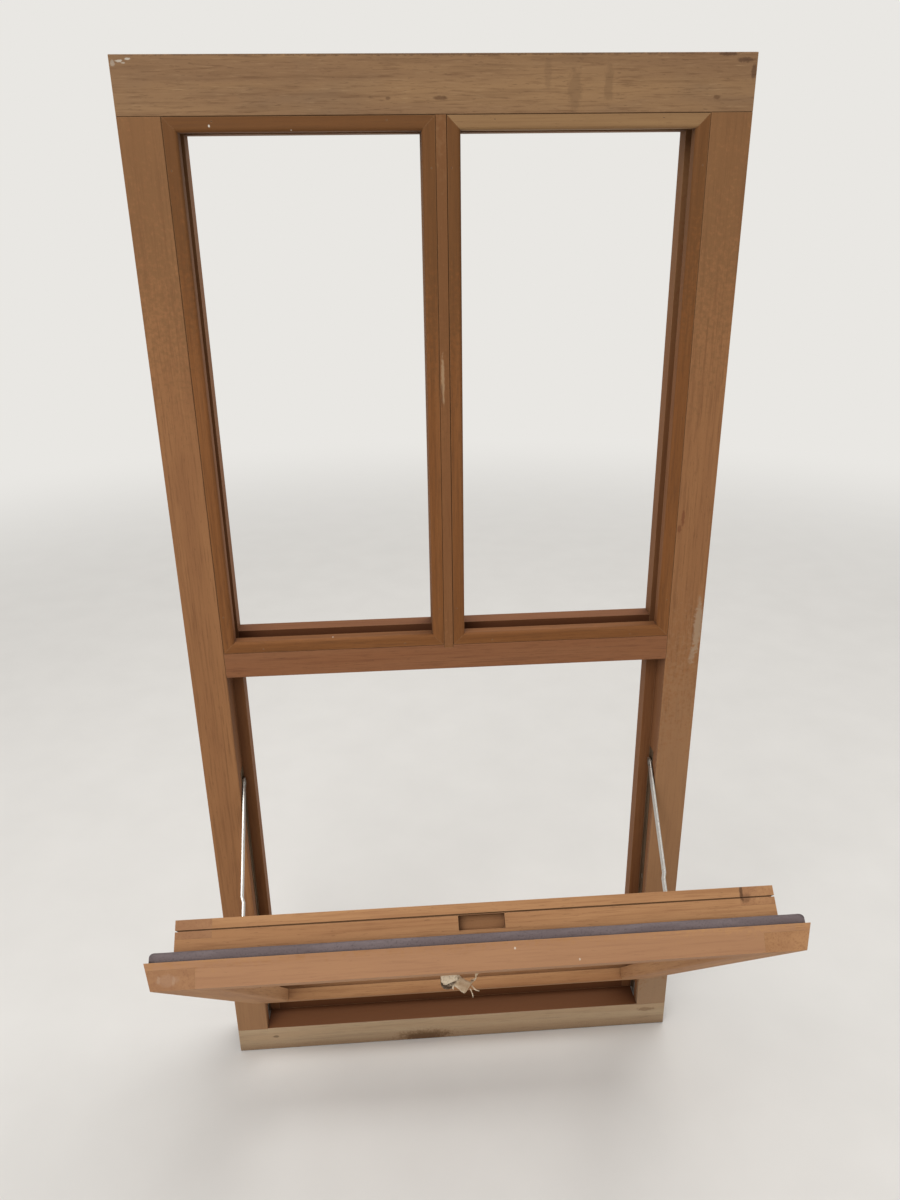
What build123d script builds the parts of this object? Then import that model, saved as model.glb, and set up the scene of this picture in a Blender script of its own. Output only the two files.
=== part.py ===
from build123d import *
import os
from math import cos, radians, sin

# Unglazed timber window: two narrow fixed lights over one opening sash on friction stays.
# Millimetres, +Z up. The origin is the middle of the sill's underside and the outside face looks to -Y.
# Heights count from the sill's underside, side distances from the frame's outer edge, and depths from
# its outside face.

# Frame
frame_width = 630.0
frame_height = 1277.0
frame_depth = 57.0
jamb_face = 42.5
head_face = 53.0
transom_seat_height = 645.5
transom_thickness = 32.5
mullion_face = 11.3
upstand_width = 13.5
upstand_depth = 20.5
mullion_scribe = 4.0
scribe_depth = 12.0
arris_ease = 0.8

# Stub tenons that join the frame's members
tenon_length = 20.0
tenon_thickness = 16.0
tenon_depth = 18.0
tenon_shoulder = 8.0
mullion_tenon_length = 14.0

# Opening for the sash
sill_floor = 40.0
stop_projection = 15.5

# Glazing beads
bead_width = 13.6
bead_depth = 15.0
bead_round = 4.0
bead_gap = 0.3
pin_thickness = 1.5
pin_length = 17.0
pin_slant = 35.0
pin_inset = 5.0
pin_end_distance = 48.0
pin_set = 0.2

# Sash
sash_side_gap = 7.0
sash_end_gap = 6.0
sash_thickness = 57.0
lip_thickness = 22.0
lip_reach = 20.0
lip_splay = 5.7
lip_gap = 0.4
sash_face_width = 22.5
sash_upstand_width = 9.0
sash_upstand_depth = 20.5
sash_ease = 0.8
tongue_depth = 16.0
groove_from_back = 8.6
groove_width = 1.2
groove_depth = 2.0
latch_recess_length = 41.0
latch_recess_depth = 9.0
latch_recess_from = 10.0
latch_recess_to = 22.5
latch_recess_offset = 0.7

# Weather seal on the lip's shoulder
seal_width = 16.5
seal_thickness = 8.5
seal_round = 4.0

# Friction stays
opening_angle = 43.25
pivot_depth = 25.5
short_link_length = 41.0
foot_pivot_inset = 8.0
link_width = 14.0
link_thickness = 1.8
joggle_to_joint = 72.5
joggle_length = 7.0
track_width = 15.0
track_base = 1.5
track_wall = 1.2
track_depth = 2.8
track_let_in = 2.0
track_end = 466.0
pivot_from_track_end = 20.0
track_screw_inset = 18.0
link_gap = 0.5
end_cap_length = 22.0
end_cap_base = 4.0
end_cap_wall = 1.0
shoe_length = 16.0
slide_gap = 0.05
face_gap = 0.1
arm_thickness = 2.0
arm_overrun = 64.0
arm_screw_inset = 24.0
arm_screw_end = 14.0
rivet_diameter = 6.0
rivet_head_diameter = 10.0
rivet_head_thickness = 1.0
rivet_shoulder_diameter = 9.0
pin_clearance = 0.05
screw_diameter = 4.0
screw_head_diameter = 7.6
screw_length = 18.0
arm_screw_count = 3
track_screw_count = 3
facet_count = 12

# How far a cutting shape runs past what it cuts
overcut = 1.0

# Two faces nearer than this are the same
touching = 0.01

# Torn end of glazing tape that hangs from the free rail's bead
tape_thickness = 0.7
tape_length = 35.0
tape_drop = 12.0
tape_curl = 4.0
tape_offset = -36.0
tape_stick_from = 3.0

# Worked out from the sizes above
half_width = frame_width / 2
front = -frame_depth / 2
head_seat = frame_height - head_face
stop_depth = frame_depth - upstand_depth
soffit = transom_seat_height - transom_thickness
side_upstand = jamb_face + upstand_width
transom_stop = soffit - stop_projection
sill_stop = sill_floor + stop_projection
sash_side = jamb_face + sash_side_gap
sash_foot = sill_floor + sash_end_gap
sash_top = soffit - sash_end_gap
pivot_y = front + pivot_depth
track_seat = jamb_face - track_let_in
link_inner = track_seat + track_depth + link_gap
link_outer = link_inner + link_thickness
arm_inner = sash_side - arm_thickness
track_start = sill_floor + end_cap_base
pivot_height = track_end - pivot_from_track_end
foot_pivot_height = sash_foot + foot_pivot_inset
link_length = (pivot_height - foot_pivot_height + short_link_length) / 2
joint_height = pivot_height - link_length
shoe_height = foot_pivot_height + short_link_length
swing = radians(opening_angle)
sash_lift = link_length * (1 - cos(swing))
sash_push = -link_length * sin(swing)
shoe_travel = 2 * (link_length - short_link_length) * (1 - cos(swing))


def block(x, y, z):
    """Block between pairs of limits: x from the frame's left edge, y back from its outside face, z up."""
    middle = (sum(x) / 2 - half_width, front + sum(y) / 2, sum(z) / 2)
    return Pos(*middle) * Box(x[1] - x[0], y[1] - y[0], z[1] - z[0])


def right_hand(shape):
    return shape.mirror(Plane.YZ)


def ease(shape, axis, size, where):
    """Chamfer the edges along one axis whose middle passes the test."""
    edges = [e for e in shape.edges().filter_by(axis) if where(e.center())]
    return chamfer(edges, size) if edges else shape


def on_front(point):
    return point.Y < front + touching


def across(size):
    return (size, frame_width - size)


def tenon_range():
    """Depth range that every stub tenon of the frame shares."""
    return (tenon_depth, tenon_depth + tenon_thickness)


def make_jamb():
    """Left jamb: one length, rebated for glass above and for the sash below, with a tenon at each end."""
    jamb = block((0, jamb_face), (0, frame_depth), (sill_floor, head_seat))
    jamb += block((jamb_face, side_upstand), (stop_depth, frame_depth), (sill_floor, head_seat))
    jamb -= track_housing()
    jamb = ease(jamb, Axis.Z, arris_ease, lambda p: on_front(p) and p.X > overcut - half_width)
    for low, high in ((sill_floor - tenon_length, sill_floor), (head_seat, head_seat + tenon_length)):
        jamb += jamb_tenon(low, high)
    return jamb - transom_tenon(jamb_face)


def track_housing():
    """Shallow groove in the jamb that the stay's channel and its end cap are let into."""
    y = (pivot_depth - track_width / 2, pivot_depth + track_width / 2)
    x = (track_seat, jamb_face)
    cap_top = track_start + end_cap_length
    return block(x, y, (sill_floor, track_end)) + block(x, end_cap_range(), (sill_floor, cap_top))


def end_cap_range():
    """Depth range of the channel's end cap, cheeks included."""
    reach = track_width / 2 + end_cap_wall
    return (pivot_depth - reach, pivot_depth + reach)


def jamb_tenon(low, high):
    x = (tenon_shoulder, jamb_face - tenon_shoulder)
    return block(x, tenon_range(), (low, high))


def transom_tenon(face):
    z = (soffit + tenon_shoulder, transom_seat_height - tenon_shoulder)
    return block((face - tenon_length, face), tenon_range(), z)


def mullion_tenon(low, high):
    x = (half_width - mullion_face / 2, half_width + mullion_face / 2)
    return block(x, tenon_range(), (low, high))


def both_sides(shape):
    return shape + right_hand(shape)


def make_head():
    """Head: runs over the jambs, with the glazing upstand along its back."""
    head = block((0, frame_width), (0, frame_depth), (head_seat, frame_height))
    head += block(across(side_upstand), (stop_depth, frame_depth), (head_seat - upstand_width, head_seat))
    head = ease(head, Axis.X, arris_ease, on_front)
    head -= both_sides(jamb_tenon(head_seat, head_seat + tenon_length))
    return head - mullion_tenon(head_seat, head_seat + mullion_tenon_length)


def make_sill():
    """Sill: runs under the jambs, with the stop for the sash along its back."""
    sill = block((0, frame_width), (0, frame_depth), (0, sill_floor))
    sill += block(across(side_upstand), (stop_depth, frame_depth), (sill_floor, sill_stop))
    sill = ease(sill, Axis.X, arris_ease, on_front)
    return sill - both_sides(jamb_tenon(sill_floor - tenon_length, sill_floor))


def make_transom():
    """Transom: tenoned between the jambs, glass rebate above and sash rebate below."""
    transom = block(across(jamb_face), (0, frame_depth), (soffit, transom_seat_height))
    transom = ease(transom, Axis.X, arris_ease, on_front)
    back = (stop_depth, frame_depth)
    transom += block(across(side_upstand), back, (transom_seat_height, transom_seat_height + upstand_width))
    transom += block(across(side_upstand), back, (transom_stop, soffit))
    transom -= block(across(jamb_face), back, (transom_stop, frame_height)) & jamb_upstands()
    transom -= mullion_scribe_block()
    transom -= mullion_tenon(transom_seat_height - mullion_tenon_length, transom_seat_height)
    return transom + both_sides(transom_tenon(jamb_face))


def jamb_upstands():
    upstand = block((jamb_face, side_upstand), (stop_depth, frame_depth), (sill_floor, head_seat))
    return both_sides(upstand)


def mullion_scribe_block():
    x = (half_width - mullion_face / 2, half_width + mullion_face / 2)
    return block(x, (0, scribe_depth), (transom_seat_height - mullion_scribe, transom_seat_height))


def make_mullion():
    """Mullion: T section between the lights, its front tongue lapped a little over the transom's face."""
    x = (half_width - mullion_face / 2, half_width + mullion_face / 2)
    mullion = block(x, (0, frame_depth), (transom_seat_height, head_seat))
    mullion += mullion_scribe_block()
    mullion = ease(mullion, Axis.Z, arris_ease, on_front)
    back = (half_width - mullion_face / 2 - upstand_width, half_width + mullion_face / 2 + upstand_width)
    ends = (transom_seat_height + upstand_width, head_seat - upstand_width)
    mullion -= block(back, (stop_depth, frame_depth), (transom_seat_height, head_seat))
    mullion += block(back, (stop_depth, frame_depth), ends)
    mullion += mullion_tenon(transom_seat_height - mullion_tenon_length, transom_seat_height)
    return mullion + mullion_tenon(head_seat, head_seat + mullion_tenon_length)


def mitred_strip(corners, width, y, round_size, round_at_back):
    """One side of a mitred frame: a strip from corner to corner with its far long edge rounded."""
    (x0, z0), (x1, z1) = corners
    along = Vector(x1 - x0, z1 - z0).normalized()
    inward = Vector(-along.Y, along.X) * width
    reach = along * width
    points = [(x0, z0), (x1, z1), (x1 + inward.X - reach.X, z1 + inward.Y - reach.Y)]
    points.append((x0 + inward.X + reach.X, z0 + inward.Y + reach.Y))
    outline = [(px - half_width, pz) for px, pz in points]
    face = Plane.XZ.offset(-(front + y[1])) * make_face(Polyline(*outline, close=True))
    strip = extrude(face, y[1] - y[0])
    near = front + (y[1] if round_at_back else y[0])
    middle = Vector((points[2][0] + points[3][0]) / 2 - half_width, near, (points[2][1] + points[3][1]) / 2)
    edge = strip.edges().sort_by_distance(middle)[0]
    return fillet(edge, round_size)


def ring_strips(x, z, width, y, round_size, round_at_back=False):
    """Four mitred strips round a rectangle, in the order foot, right, top, left."""
    corners = [(x[0], z[0]), (x[1], z[0]), (x[1], z[1]), (x[0], z[1])]
    sides = zip(corners, corners[1:] + corners[:1])
    return [mitred_strip(side, width, y, round_size, round_at_back) for side in sides]


def light_limits():
    """Side distances of the left light's glass rebate."""
    return (jamb_face, half_width - mullion_face / 2)


def make_light_beads():
    x = (light_limits()[0] + bead_gap, light_limits()[1] - bead_gap)
    z = (transom_seat_height + bead_gap, head_seat - bead_gap)
    return ring_strips(x, z, bead_width, (0, bead_depth), bead_round)


def sash_blank():
    """Outline of the whole sash, closed: the part in the opening and the splayed lip in front of it."""
    back = stop_depth_of_sash()
    body = block(across(sash_side), (-lip_gap, back), (sash_foot, sash_top))
    base_width = frame_width - 2 * (sash_side - lip_reach)
    base_height = sash_top - sash_foot + 2 * lip_reach
    middle = Plane((0, front - lip_gap, (sash_foot + sash_top) / 2), x_dir=(1, 0, 0), z_dir=(0, -1, 0))
    near = middle * Rectangle(base_width, base_height)
    far_plane = middle.offset(lip_thickness)
    far = far_plane * Rectangle(base_width - 2 * lip_splay, base_height - 2 * lip_splay)
    blank = body + loft([near, far])
    groove = block(across(sash_side), groove_range(), (sash_foot, sash_top))
    inside = (sash_side + groove_depth, frame_width - sash_side - groove_depth)
    groove -= block(inside, groove_range(), (sash_foot + groove_depth, sash_top - groove_depth))
    return blank - groove


def stop_depth_of_sash():
    """Depth of the sash's inside face behind the frame's outside face when it is shut."""
    return sash_thickness - lip_thickness - lip_gap


def sash_y(low, high):
    """Depth range of a slice of the sash, counted forward from its inside face."""
    back = stop_depth_of_sash()
    return (back - high, back - low)


def groove_range():
    return sash_y(groove_from_back, groove_from_back + groove_width)


def stile_zone():
    """Space that a stile takes of the sash: its tongues run through, its middle stops at the rails."""
    low = -lip_reach - overcut
    high = frame_height
    outside = sash_side - lip_reach - overcut
    face = sash_side + sash_face_width
    upstand = face + sash_upstand_width
    top_tongue = sash_thickness - tongue_depth
    zone = block((outside, upstand), sash_y(0, tongue_depth), (low, high))
    upstand_reach = sash_face_width + sash_upstand_width
    rail_ends = (sash_foot + upstand_reach, sash_top - upstand_reach)
    zone += block((outside, upstand), sash_y(tongue_depth, sash_upstand_depth), rail_ends)
    rail_ends = (sash_foot + sash_face_width, sash_top - sash_face_width)
    zone += block((outside, face), sash_y(sash_upstand_depth, top_tongue), rail_ends)
    return zone + block((outside, face), sash_y(top_tongue, sash_thickness), (low, high))


def rail_band(low, high):
    """Full-width band of the sash that holds one rail and its tenons, less the rebate for the glass."""
    band = block((0, frame_width), sash_y(0, sash_thickness), (low, high))
    inner = (sash_foot + sash_face_width, sash_top - sash_face_width)
    return band - block((0, frame_width), sash_y(sash_upstand_depth, sash_thickness), inner)


def make_sash_members():
    """Two stiles and two rails, bridle jointed at the corners."""
    blank = sash_blank()
    left_zone = stile_zone()
    stiles = both_sides(left_zone)
    upstand = sash_face_width + sash_upstand_width
    free_rail = (blank & rail_band(sash_top - upstand, frame_height)) - stiles
    hinge_rail = (blank & rail_band(-lip_reach, sash_foot + upstand)) - stiles
    left = blank & left_zone
    right = blank & right_hand(left_zone)
    middle = half_width + latch_recess_offset
    x = (middle - latch_recess_length / 2, middle + latch_recess_length / 2)
    recess = block(x, sash_y(latch_recess_from, latch_recess_to), (sash_top - latch_recess_depth, sash_top))
    members = [left, right, free_rail - recess, hinge_rail]
    return [ease_outside_face(member) for member in members]


def ease_outside_face(member):
    """Ease the long arrises of a sash member's outside face."""
    face_y = front - lip_thickness
    long_edge = 2 * (lip_reach + sash_face_width)
    edges = [e for e in member.edges() if e.length > long_edge and abs(e.center().Y - face_y) < touching]
    return chamfer(edges, sash_ease) if edges else member


def make_sash_beads():
    side = sash_side + sash_face_width + bead_gap
    z = (sash_foot + sash_face_width + bead_gap, sash_top - sash_face_width - bead_gap)
    y = sash_y(sash_thickness - bead_depth, sash_thickness)
    return ring_strips((side, frame_width - side), z, bead_width, y, bead_round)


def make_seals():
    """Four lengths of weather seal, mitred, on the lip's shoulder round the sash, not yet squeezed."""
    y = (-lip_gap, seal_thickness - lip_gap)
    return ring_strips(across(sash_side), (sash_foot, sash_top), -seal_width, y, seal_round, True)


def across_stay(x, height):
    """Plane that faces +X at a side distance, at the stay's depth and a height."""
    return Plane((x - half_width, pivot_y, height), x_dir=(0, 1, 0), z_dir=(1, 0, 0))


def peg(x, height, radius):
    """Round peg along X between two side distances, at the stay's depth and a height."""
    return extrude(across_stay(x[0], height) * Circle(radius), x[1] - x[0])


def rivet_head(x, height, diameter):
    """Upset head or shoulder of a rivet, its rim in small flats."""
    outline = RegularPolygon(diameter / 2, facet_count)
    return extrude(across_stay(x[0], height) * outline, x[1] - x[0])


def strap(ends, x):
    """Flat bar with round ends, standing along the track between two heights."""
    middle = Plane((x[0] - half_width, pivot_y, sum(ends) / 2), x_dir=(0, 0, 1), z_dir=(1, 0, 0))
    return extrude(middle * SlotCenterToCenter(ends[1] - ends[0], link_width), x[1] - x[0])


def make_link(top, length, joggle_from):
    """Stay link, hanging from its upper pivot, with a joggle that brings its lower end nearer the sash."""
    body = strap((top - length, top), (link_inner, link_outer + link_thickness))
    high = top + link_width
    low = top - length - link_width
    bend = top - joggle_from
    near = link_inner - half_width
    side = [(near, high), (near, bend), (near + link_thickness, bend - joggle_length)]
    side += [(near + link_thickness, low), (near + 2 * link_thickness, low)]
    side += [(near + 2 * link_thickness, bend - joggle_length), (near + link_thickness, bend)]
    side += [(near + link_thickness, high)]
    plane = Plane.XZ.offset(-(pivot_y + link_width))
    body &= extrude(plane * make_face(Polyline(*side, close=True)), 2 * link_width)
    hole = rivet_diameter / 2 + pin_clearance
    reach = (link_inner - overcut, link_outer + link_thickness + overcut)
    return body - peg(reach, top, hole) - peg(reach, top - length, hole)


def make_long_link():
    return make_link(pivot_height, link_length, link_length - joggle_to_joint)


def make_short_link():
    """Short link from the shoe down to the arm's foot, turned so that its joggled end meets the arm."""
    joggle_from = (short_link_length - joggle_length) / 2
    return make_link(shoe_height, short_link_length, joggle_from)


def screw_heights(low, high, count):
    step = (high - low) / (count - 1)
    return [low + step * i for i in range(count)]


def track_screw_heights():
    low = track_start + end_cap_length + track_screw_inset
    return screw_heights(low, pivot_height - track_screw_inset, track_screw_count)


def arm_screw_heights():
    low = foot_pivot_height + arm_screw_inset
    return screw_heights(low, joint_height + arm_overrun - arm_screw_end, arm_screw_count)


def make_screw(head_x, point_x, height):
    """Countersunk wood screw along X: its head's face at head_x, its point at point_x."""
    turn = 1 if point_x > head_x else -1
    head_length = (screw_head_diameter - screw_diameter) / 2
    top = Plane((head_x - half_width, pivot_y, height), x_dir=(0, turn, 0), z_dir=(turn, 0, 0))
    neck = top.offset(head_length)
    head = loft([top * RegularPolygon(screw_head_diameter / 2, facet_count),
                 neck * RegularPolygon(screw_diameter / 2, facet_count)])
    shank = extrude(neck * RegularPolygon(screw_diameter / 2, facet_count), screw_length - head_length)
    return head + shank


def track_screws():
    face = track_seat + track_base
    return [make_screw(face, face - screw_length, h) for h in track_screw_heights()]


def arm_screws():
    return [make_screw(arm_inner, arm_inner + screw_length, h) for h in arm_screw_heights()]


def make_track():
    """Folded channel let into the jamb and screwed to it."""
    y = (pivot_depth - track_width / 2, pivot_depth + track_width / 2)
    z = (track_start, track_end)
    track = block((track_seat, track_seat + track_depth), y, z)
    inner = (y[0] + track_wall, y[1] - track_wall)
    track -= block((track_seat + track_base, track_seat + track_depth), inner, z)
    track -= peg((track_seat, track_seat + track_base), pivot_height, rivet_diameter / 2)
    for screw in track_screws():
        track -= screw
    return track


def make_end_cap():
    """Moulded cap that closes the channel's foot, with a cheek along each of its walls."""
    y = end_cap_range()
    top = track_seat + track_depth
    cap = block((track_seat, top), y, (sill_floor, track_start))
    cheek_height = (sill_floor, track_start + end_cap_length)
    for side in (y[0], y[1] - end_cap_wall):
        cap += block((track_seat, top), (side, side + end_cap_wall), cheek_height)
    return cap


def make_track_rivet():
    """Rivet that carries the long link: shank in the channel, shoulder, and a head over the link."""
    rivet = peg((track_seat, link_outer + face_gap), pivot_height, rivet_diameter / 2)
    shoulder = (track_seat + track_base, link_inner - face_gap)
    rivet += rivet_head(shoulder, pivot_height, rivet_shoulder_diameter)
    head = (link_outer + face_gap, link_outer + face_gap + rivet_head_thickness)
    return rivet + rivet_head(head, pivot_height, rivet_head_diameter)


def make_shoe():
    """Sliding block that runs in the channel."""
    half = track_width / 2 - track_wall - slide_gap
    y = (pivot_depth - half, pivot_depth + half)
    z = (shoe_height - shoe_length / 2, shoe_height + shoe_length / 2)
    shoe = block((track_seat + track_base + slide_gap, link_inner - face_gap), y, z)
    return shoe - peg((track_seat, link_inner), shoe_height, rivet_diameter / 2)


def make_shoe_rivet():
    shank = (track_seat + track_base + slide_gap, link_outer + face_gap)
    rivet = peg(shank, shoe_height, rivet_diameter / 2)
    head = (link_outer + face_gap, link_outer + face_gap + rivet_head_thickness)
    return rivet + rivet_head(head, shoe_height, rivet_head_diameter)


def make_arm():
    """Flat arm screwed to the stile's side."""
    ends = (foot_pivot_height, joint_height + arm_overrun)
    arm = strap(ends, (arm_inner, sash_side))
    for height in (foot_pivot_height, joint_height):
        arm -= peg((arm_inner, sash_side), height, rivet_diameter / 2)
    for screw in arm_screws():
        arm -= screw
    return arm


def make_arm_rivets():
    """Rivets of the arm's two pivots, each with its head on the link's far side."""
    rivets = []
    for height in (foot_pivot_height, joint_height):
        rivet = peg((link_outer - face_gap, sash_side), height, rivet_diameter / 2)
        head = (link_outer - face_gap - rivet_head_thickness, link_outer - face_gap)
        rivets.append(rivet + rivet_head(head, height, rivet_head_diameter))
    return rivets


def bead_pins(x, z, y_face):
    """Slanted pins through a ring of beads into the members beside them, two to a bead."""
    pins = []
    corners = [(x[0], z[0]), (x[1], z[0]), (x[1], z[1]), (x[0], z[1])]
    for (x0, z0), (x1, z1) in zip(corners, corners[1:] + corners[:1]):
        along = Vector(x1 - x0, 0, z1 - z0).normalized()
        inward = Vector(-along.Z, 0, along.X)
        length = Vector(x1 - x0, 0, z1 - z0).length
        for distance in (pin_end_distance, length - pin_end_distance):
            start = Vector(x0 - half_width, front + y_face, z0) + along * distance + inward * pin_inset
            slant = radians(pin_slant)
            direction = inward * -sin(slant) + Vector(0, cos(slant), 0)
            plane = Plane(start, x_dir=along, z_dir=direction)
            pins.append(extrude(plane * Rectangle(pin_thickness, pin_thickness), pin_length))
    return pins


def light_pins():
    x = light_limits()
    return bead_pins(x, (transom_seat_height, head_seat), pin_set)


def sash_pins():
    side = sash_side + sash_face_width
    z = (sash_foot + sash_face_width, sash_top - sash_face_width)
    return bead_pins((side, frame_width - side), z, sash_y(0, sash_thickness)[0] + pin_set)


def opened_point(y, z):
    """Where a point of the shut sash lies, across the frame's depth and height, when the sash stands open."""
    dy = y - pivot_y
    dz = z - joint_height
    open_y = pivot_y + sash_push + dy * cos(swing) - dz * sin(swing)
    return (open_y, joint_height + sash_lift + dy * sin(swing) + dz * cos(swing))


def make_tape():
    """Torn end of glazing tape: stuck to the free rail's bead, with its loose end curled to a roll."""
    edge = sash_top - sash_face_width - bead_gap - bead_width
    y = sash_y(sash_thickness - bead_depth, sash_thickness)
    stuck_y = (y[0] + tape_stick_from, y[1] - tape_stick_from)
    x = (half_width + tape_offset, half_width + tape_offset + tape_length)
    stuck = opened(block(x, stuck_y, (edge - tape_thickness, edge)))
    start = opened_point(front + stuck_y[0], edge - tape_thickness / 2)
    drop = Line((0, 0), (0, -tape_drop))
    curl = CenterArc((tape_curl, -tape_drop), tape_curl, 180, 290)
    ribbon = trace([drop, curl], tape_thickness)
    place = Plane((tape_offset, start[0], start[1]), x_dir=(0, 1, 0), z_dir=(1, 0, 0))
    hanging = extrude(place * ribbon, tape_length)
    return (stuck + hanging).solid()


def opened(shape):
    """Swing a part of the shut sash to where it stands open."""
    axis = Axis((0, pivot_y, joint_height), (1, 0, 0))
    return Pos(0, sash_push, sash_lift) * shape.rotate(axis, opening_angle)


def swung_link(shape):
    return shape.rotate(Axis((0, pivot_y, pivot_height), (1, 0, 0)), -opening_angle)


def slid(shape):
    return Pos(0, 0, shoe_travel) * shape


def swung_short_link(shape):
    return slid(shape.rotate(Axis((0, pivot_y, shoe_height), (1, 0, 0)), -opening_angle))


def write(name, shapes):
    """Write one node: a single solid, or a group of like solids."""
    shapes = shapes if isinstance(shapes, list) else [shapes]
    solids = [solid for shape in shapes for solid in shape.solids()]
    node = solids[0] if len(solids) == 1 else Compound(children=solids)
    node.label = name
    export_step(node, os.path.join("parts", name + ".step"))


def cut(shape, tools):
    for tool in tools:
        shape -= tool
    return shape


def write_frame():
    pins = light_pins()
    pins_both = pins + [right_hand(pin) for pin in pins]
    jamb_side = [pin for pin in pins_both if pin.center().X < 0]
    left_jamb = cut(make_jamb(), jamb_side + track_screws())
    write("left_jamb", left_jamb)
    write("right_jamb", right_hand(left_jamb))
    write("head", cut(make_head(), pins_both))
    write("transom", cut(make_transom(), pins_both))
    write("mullion", cut(make_mullion(), pins_both))
    write("sill", make_sill())
    for side, bead in zip(("foot", "inner", "head", "outer"), make_light_beads()):
        bead = cut(bead, pins)
        write("left_light_" + side + "_bead", bead)
        write("right_light_" + side + "_bead", right_hand(bead))
    write("left_light_bead_pins", pins)
    write("right_light_bead_pins", [right_hand(pin) for pin in pins])


def write_sash():
    pins = sash_pins()
    screws = arm_screws()
    right_screws = [right_hand(screw) for screw in screws]
    left, right, free_rail, hinge_rail = make_sash_members()
    write("sash_left_stile", opened(cut(left, pins + screws)))
    write("sash_right_stile", opened(cut(right, pins + right_screws)))
    write("sash_free_rail", opened(cut(free_rail, pins)))
    write("sash_hinge_rail", opened(cut(hinge_rail, pins)))
    for side, bead in zip(("hinge", "right", "free", "left"), make_sash_beads()):
        write("sash_" + side + "_bead", opened(cut(bead, pins)))
    for side, seal in zip(("hinge", "right", "free", "left"), make_seals()):
        write("sash_" + side + "_weather_seal", opened(seal))
    write("sash_bead_pins", [opened(pin) for pin in pins])
    write("torn_glazing_tape", make_tape())


def write_stay(side, turn):
    """One friction stay; turn makes it left or right handed."""
    write(side + "_stay_track", turn(make_track()))
    write(side + "_track_end_cap", turn(make_end_cap()))
    write(side + "_track_rivet", turn(make_track_rivet()))
    write(side + "_track_screws", [turn(screw) for screw in track_screws()])
    write(side + "_long_link", turn(swung_link(make_long_link())))
    write(side + "_short_link", turn(swung_short_link(make_short_link())))
    write(side + "_stay_shoe", turn(slid(make_shoe())))
    write(side + "_shoe_rivet", turn(slid(make_shoe_rivet())))
    write(side + "_sash_arm", turn(opened(make_arm())))
    write(side + "_arm_rivets", [turn(opened(rivet)) for rivet in make_arm_rivets()])
    write(side + "_arm_screws", [turn(opened(screw)) for screw in arm_screws()])


os.makedirs("parts", exist_ok=True)
write_frame()
write_sash()
write_stay("left", lambda shape: shape)
write_stay("right", right_hand)
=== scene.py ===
import math

import bmesh
import bpy
from mathutils import Matrix, Vector, noise
from mathutils.geometry import tessellate_polygon


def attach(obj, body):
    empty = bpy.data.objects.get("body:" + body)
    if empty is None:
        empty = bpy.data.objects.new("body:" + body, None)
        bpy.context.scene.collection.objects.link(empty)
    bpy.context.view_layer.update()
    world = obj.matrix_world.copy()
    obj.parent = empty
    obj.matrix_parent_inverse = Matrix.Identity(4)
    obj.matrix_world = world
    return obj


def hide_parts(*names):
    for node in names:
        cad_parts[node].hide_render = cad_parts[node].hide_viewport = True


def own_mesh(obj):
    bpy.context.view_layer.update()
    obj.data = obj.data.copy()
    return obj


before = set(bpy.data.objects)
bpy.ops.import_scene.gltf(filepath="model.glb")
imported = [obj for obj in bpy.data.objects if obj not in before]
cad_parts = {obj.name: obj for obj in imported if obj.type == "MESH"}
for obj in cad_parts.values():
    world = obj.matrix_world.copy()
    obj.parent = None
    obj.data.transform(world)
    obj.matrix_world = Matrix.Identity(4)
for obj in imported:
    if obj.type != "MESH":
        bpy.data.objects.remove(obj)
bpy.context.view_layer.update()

# An unglazed hardwood window: two narrow fixed lights over one sash, which stands open on a pair
# of friction stays. Metres, +Z up, outside face towards -Y, origin under the middle of the sill.


# The view: a phone held about a metre in front of the upper lights, tipped down towards the open
# sash and turned slightly right.
photo_width = 900
photo_height = 1200
focal_pixels = 932.9
sensor_millimetres = 36.0
camera_place = (-0.0657, -1.0611, 1.1344)
camera_turn = math.radians(-3.76)
camera_tip = math.radians(-22.55)
camera_roll = math.radians(-0.815)

lens = bpy.data.cameras.new("phone_lens")
lens.sensor_width = sensor_millimetres
lens.lens = sensor_millimetres * focal_pixels / max(photo_width, photo_height)
phone = bpy.data.objects.new("phone", lens)
phone.matrix_world = (
    Matrix.Translation(camera_place)
    @ Matrix.Rotation(camera_turn, 4, "Z")
    @ Matrix.Rotation(math.radians(90) + camera_tip, 4, "X")
    @ Matrix.Rotation(camera_roll, 4, "Z")
)
bpy.context.scene.collection.objects.link(phone)
bpy.context.scene.camera = phone
bpy.context.scene.view_settings.view_transform = "Standard"


# Light: an even pale sky all round, a broad soft lamp high in front on the left, and a second one
# over the back, so that faces that look up are the brightest, as under an open sky.
sky_level = 0.62
sky_hex = "#ffffff"
backdrop_hex = "#e9e7e3"
lamps = (
    # name, place, width, watts
    ("front_lamp", (-1.5, -2.4, 2.9), 2.4, 62.0),
    ("over_lamp", (0.7, 0.9, 3.0), 2.0, 34.0),
)
lamp_aim = Vector((0.0, 0.0, 0.6))


def linear(hex_colour):
    """An sRGB hex colour such as #8b6245, as linear RGBA."""
    shares = [int(hex_colour[i:i + 2], 16) / 255 for i in (1, 3, 5)]
    return [s / 12.92 if s <= 0.04045 else ((s + 0.055) / 1.055) ** 2.4 for s in shares] + [1.0]


def add_node(tree, kind, inputs=None, **settings):
    """Add a node with its settings; each input is a plain value or another node's output."""
    node = tree.nodes.new(kind)
    for name, value in settings.items():
        setattr(node, name, value)
    for name, value in (inputs or {}).items():
        if isinstance(value, bpy.types.NodeSocket):
            tree.links.new(value, node.inputs[name])
        else:
            node.inputs[name].default_value = value
    return node


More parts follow.
